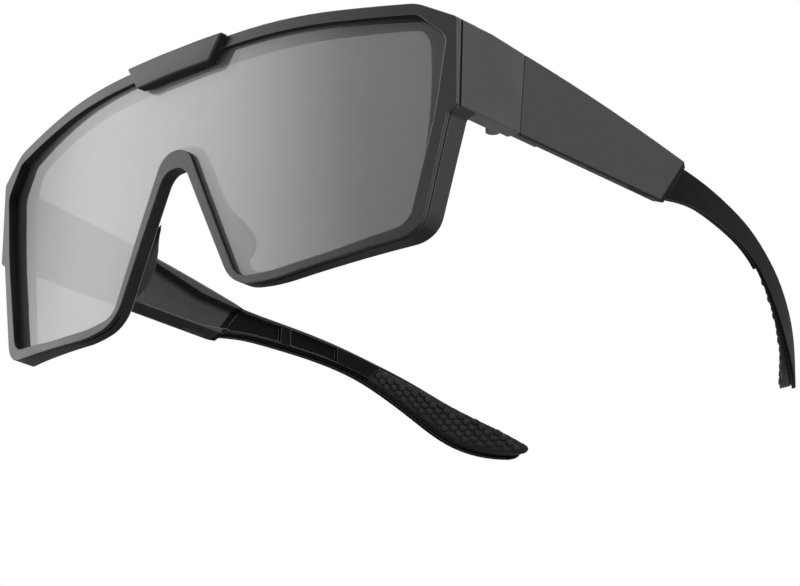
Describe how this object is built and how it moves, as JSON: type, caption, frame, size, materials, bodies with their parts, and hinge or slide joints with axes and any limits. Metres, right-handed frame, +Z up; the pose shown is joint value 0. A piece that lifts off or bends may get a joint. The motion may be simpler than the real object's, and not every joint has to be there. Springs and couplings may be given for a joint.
{
  "type": "fitover sunglasses",
  "caption": "Wraparound fitover sunglasses: one mirror-tint shield in a full black frame, wide end pieces, folding temples with soft grip tips.",
  "frame": {"origin": "middle of the overall box, at the level of the lowest point of the rim", "axes": "+X to the wearer's left, +Y back along the temples, +Z up; the front looks to -Y"},
  "size_m": [0.15, 0.174, 0.0618],
  "materials": {
    "frame": "fine matte black moulding",
    "temple": "fine matte black moulding",
    "trim": "satin black trim",
    "shield": "silver mirror coat on smoke tint",
    "rubber": "soft matte black",
    "grip": "soft matte black with raised lozenges",
    "hinge": "brushed",
    "screw": "turned"
  },
  "bodies": {
    "front": {"front_frame": "frame", "shield_lens": "shield", "brow_plate": "trim", "nose_saddle": "rubber", "hinge_leaf_front_left": "hinge", "hinge_leaf_front_right": "hinge", "hinge_screw_left": "screw", "hinge_screw_right": "screw", "front_leaf_screws": "screw"},
    "temple_left_body": {"temple_left": "temple", "hinge_leaf_temple_left": "hinge", "temple_leaf_screws_left": "screw", "temple_grip_left": "grip"},
    "temple_right_body": {"temple_right": "temple", "hinge_leaf_temple_right": "hinge", "temple_leaf_screws_right": "screw", "temple_grip_right": "grip"}
  },
  "joints": [
    {"name": "temple_left_fold", "type": "hinge", "parent": "front", "child": "temple_left_body", "pos_m": [0.0695, -0.05391, 0.03909], "axis": [0, 0, 1], "range_deg": [0, 84]},
    {"name": "temple_right_fold", "type": "hinge", "parent": "front", "child": "temple_right_body", "pos_m": [-0.0695, -0.05391, 0.03909], "axis": [0, 0, -1], "range_deg": [0, 76]}
  ]
}
